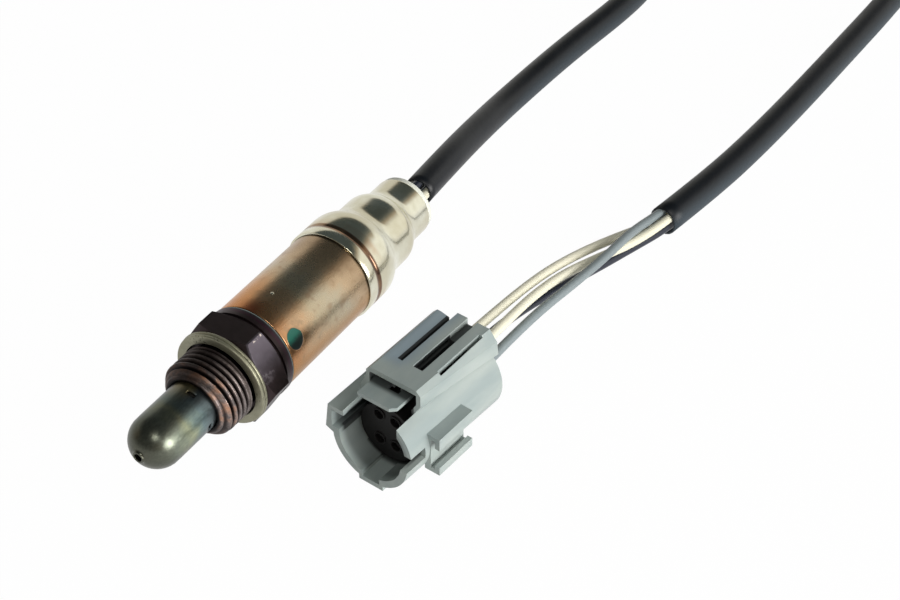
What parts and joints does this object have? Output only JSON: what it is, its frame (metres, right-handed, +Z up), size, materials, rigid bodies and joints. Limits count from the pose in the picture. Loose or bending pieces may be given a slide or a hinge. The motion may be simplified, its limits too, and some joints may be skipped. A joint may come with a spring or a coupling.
{
  "type": "heated exhaust oxygen sensor",
  "caption": "Threaded exhaust gas sensor with a domed perforated nose, hexagon shell, sealing gasket, stepped steel sleeve, sheathed lead and a keyed latching plug.",
  "frame": {"origin": "on the sensor's axis, in the plane where the gasket meets the hexagon", "axes": "-Y along the sensor's axis towards its nose, +Z up, the part lies on the plane z = -11.4 mm"},
  "size_m": [0.0877, 0.3024, 0.0242],
  "materials": {
    "nose_steel": "heat darkened satin",
    "shell_steel": "dark heat tinted satin",
    "gasket_steel": "dull plated",
    "sleeve_steel": "heat tinted satin",
    "cap_steel": "fine turned satin",
    "ceramic": "matt fired ceramic",
    "inner_steel": "satin",
    "powder": "pressed powder",
    "contact_metal": "plated spring metal",
    "white_rubber": "matt",
    "wire_white": "satin",
    "wire_grey": "satin",
    "wire_black": "satin",
    "sheath_black": "satin",
    "housing_grey": "satin moulded",
    "insert_black": "satin moulded",
    "seal_rubber": "matt"
  },
  "bodies": {
    "root": {"outer_protection_tube": "nose_steel", "inner_protection_tube": "inner_steel", "sensor_shell": "shell_steel", "sealing_gasket": "gasket_steel", "zirconia_element": "ceramic", "heater_rod": "ceramic", "seat_washer": "inner_steel", "powder_seal": "powder", "support_bush": "ceramic", "disc_spring": "inner_steel", "inner_contact": "contact_metal", "outer_contact": "contact_metal", "contact_holder": "ceramic", "protective_sleeve": "sleeve_steel", "rear_cap": "cap_steel", "grommet": "white_rubber", "cable_sheath": "sheath_black", "wire_white_a": "wire_white", "wire_white_b": "wire_white", "wire_grey": "wire_grey", "wire_black": "wire_black", "connector_housing": "housing_grey", "connector_insert": "insert_black", "interface_seal": "seal_rubber", "wire_seal": "seal_rubber", "crimp_terminal_1": "contact_metal", "crimp_terminal_2": "contact_metal", "crimp_terminal_3": "contact_metal", "crimp_terminal_4": "contact_metal", "socket_upper_left": "contact_metal", "socket_upper_right": "contact_metal", "socket_lower_right": "contact_metal", "socket_lower_left": "contact_metal"}
  },
  "joints": []
}
